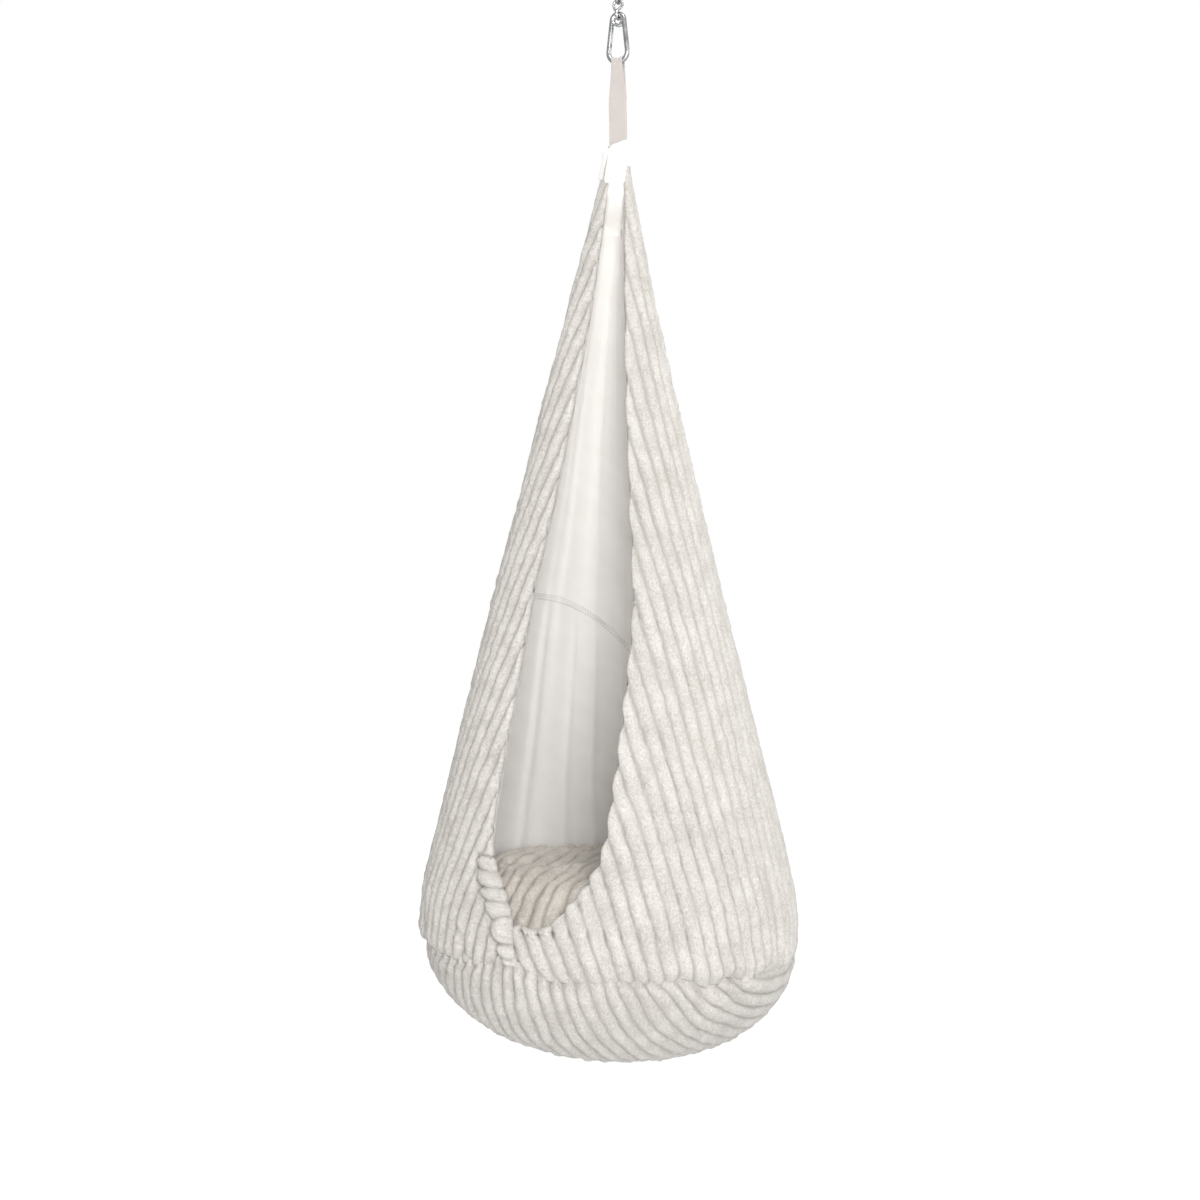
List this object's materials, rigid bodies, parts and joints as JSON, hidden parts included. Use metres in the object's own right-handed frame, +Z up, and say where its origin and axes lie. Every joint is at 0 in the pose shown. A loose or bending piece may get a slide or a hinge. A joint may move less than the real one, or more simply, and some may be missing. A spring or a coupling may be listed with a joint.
{
  "type": "hanging pod chair",
  "caption": "Hanging pod chair: teardrop of ribbed plush with an open front and a round cushion, on a webbing loop, snap hook, twisted links and a ceiling swivel.",
  "frame": {"origin": "centre of the ceiling plate's top face, where it meets the ceiling", "axes": "+Z up, -Y towards the sitter's way in at the front, +X to the right when seen from the front"},
  "size_m": [0.6092, 0.6095, 1.7859],
  "materials": {
    "zinc_steel": "satin",
    "bright_steel": "polished",
    "bearing_steel": "polished",
    "brass": "satin",
    "webbing": "woven, matt",
    "plush": "ribbed plush, matt",
    "cushion_plush": "ribbed plush, matt",
    "lining_cloth": "plain weave, matt",
    "filling": "soft, matt"
  },
  "bodies": {
    "ceiling_mount": {"ceiling_plate": "zinc_steel", "bearing_housing": "zinc_steel", "lower_race": "bearing_steel"},
    "ball_ring": {"bearing_balls": "bearing_steel", "ball_cage": "brass"},
    "swivel": {"upper_race": "bearing_steel", "thrust_washer": "zinc_steel", "lock_nut": "zinc_steel", "swivel_eye": "zinc_steel"},
    "upper_chain_link": {"upper_link": "zinc_steel"},
    "lower_chain_link": {"lower_link": "zinc_steel"},
    "hook": {"hook_body": "zinc_steel", "hook_eyelet": "bright_steel"},
    "gate": {"hook_gate": "zinc_steel", "gate_rivet": "zinc_steel", "latch_pin": "bearing_steel", "gate_plunger": "bearing_steel", "gate_spring": "bearing_steel"},
    "pod": {"strap_loop": "webbing", "lining_top": "lining_cloth", "left_panel": "plush", "right_panel": "plush", "base_panel": "plush", "upper_lining": "lining_cloth", "lower_lining": "lining_cloth", "front_lining": "lining_cloth", "base_lining": "lining_cloth", "cushion_top": "cushion_plush", "cushion_base": "cushion_plush", "cushion_filling": "filling"}
  },
  "joints": [
    {"name": "swivel_spin", "type": "hinge", "parent": "ceiling_mount", "child": "swivel", "pos_m": [0, 0, -0.0195], "axis": [0, 0, 1], "continuous": true},
    {"name": "ball_ring_spin", "type": "hinge", "parent": "ceiling_mount", "child": "ball_ring", "pos_m": [0, 0, -0.0195], "axis": [0, 0, 1], "continuous": true},
    {"name": "upper_link_swing", "type": "hinge", "parent": "swivel", "child": "upper_chain_link", "pos_m": [0, 0, -0.05325], "axis": [0, 1, 0], "range_deg": [-35, 35]},
    {"name": "lower_link_swing", "type": "hinge", "parent": "upper_chain_link", "child": "lower_chain_link", "pos_m": [0, 0, -0.07285], "axis": [1, 0, 0], "range_deg": [-35, 35]},
    {"name": "hook_swing", "type": "hinge", "parent": "lower_chain_link", "child": "hook", "pos_m": [0, 0, -0.10345], "axis": [0, 1, 0], "range_deg": [-35, 35]},
    {"name": "gate_open", "type": "hinge", "parent": "hook", "child": "gate", "pos_m": [-0.01245, 0, -0.12182], "axis": [0, -1, 0], "range_deg": [0, 25], "stiffness_Nm_per_rad": 0.05, "springref_deg": -22.92},
    {"name": "pod_swing", "type": "hinge", "parent": "hook", "child": "pod", "pos_m": [0, 0, -0.17385], "axis": [1, 0, 0], "range_deg": [-30, 30]}
  ],
  "couplings": [
    {"joint": "ball_ring_spin", "follows": "swivel_spin", "ratio": 0.5}
  ]
}
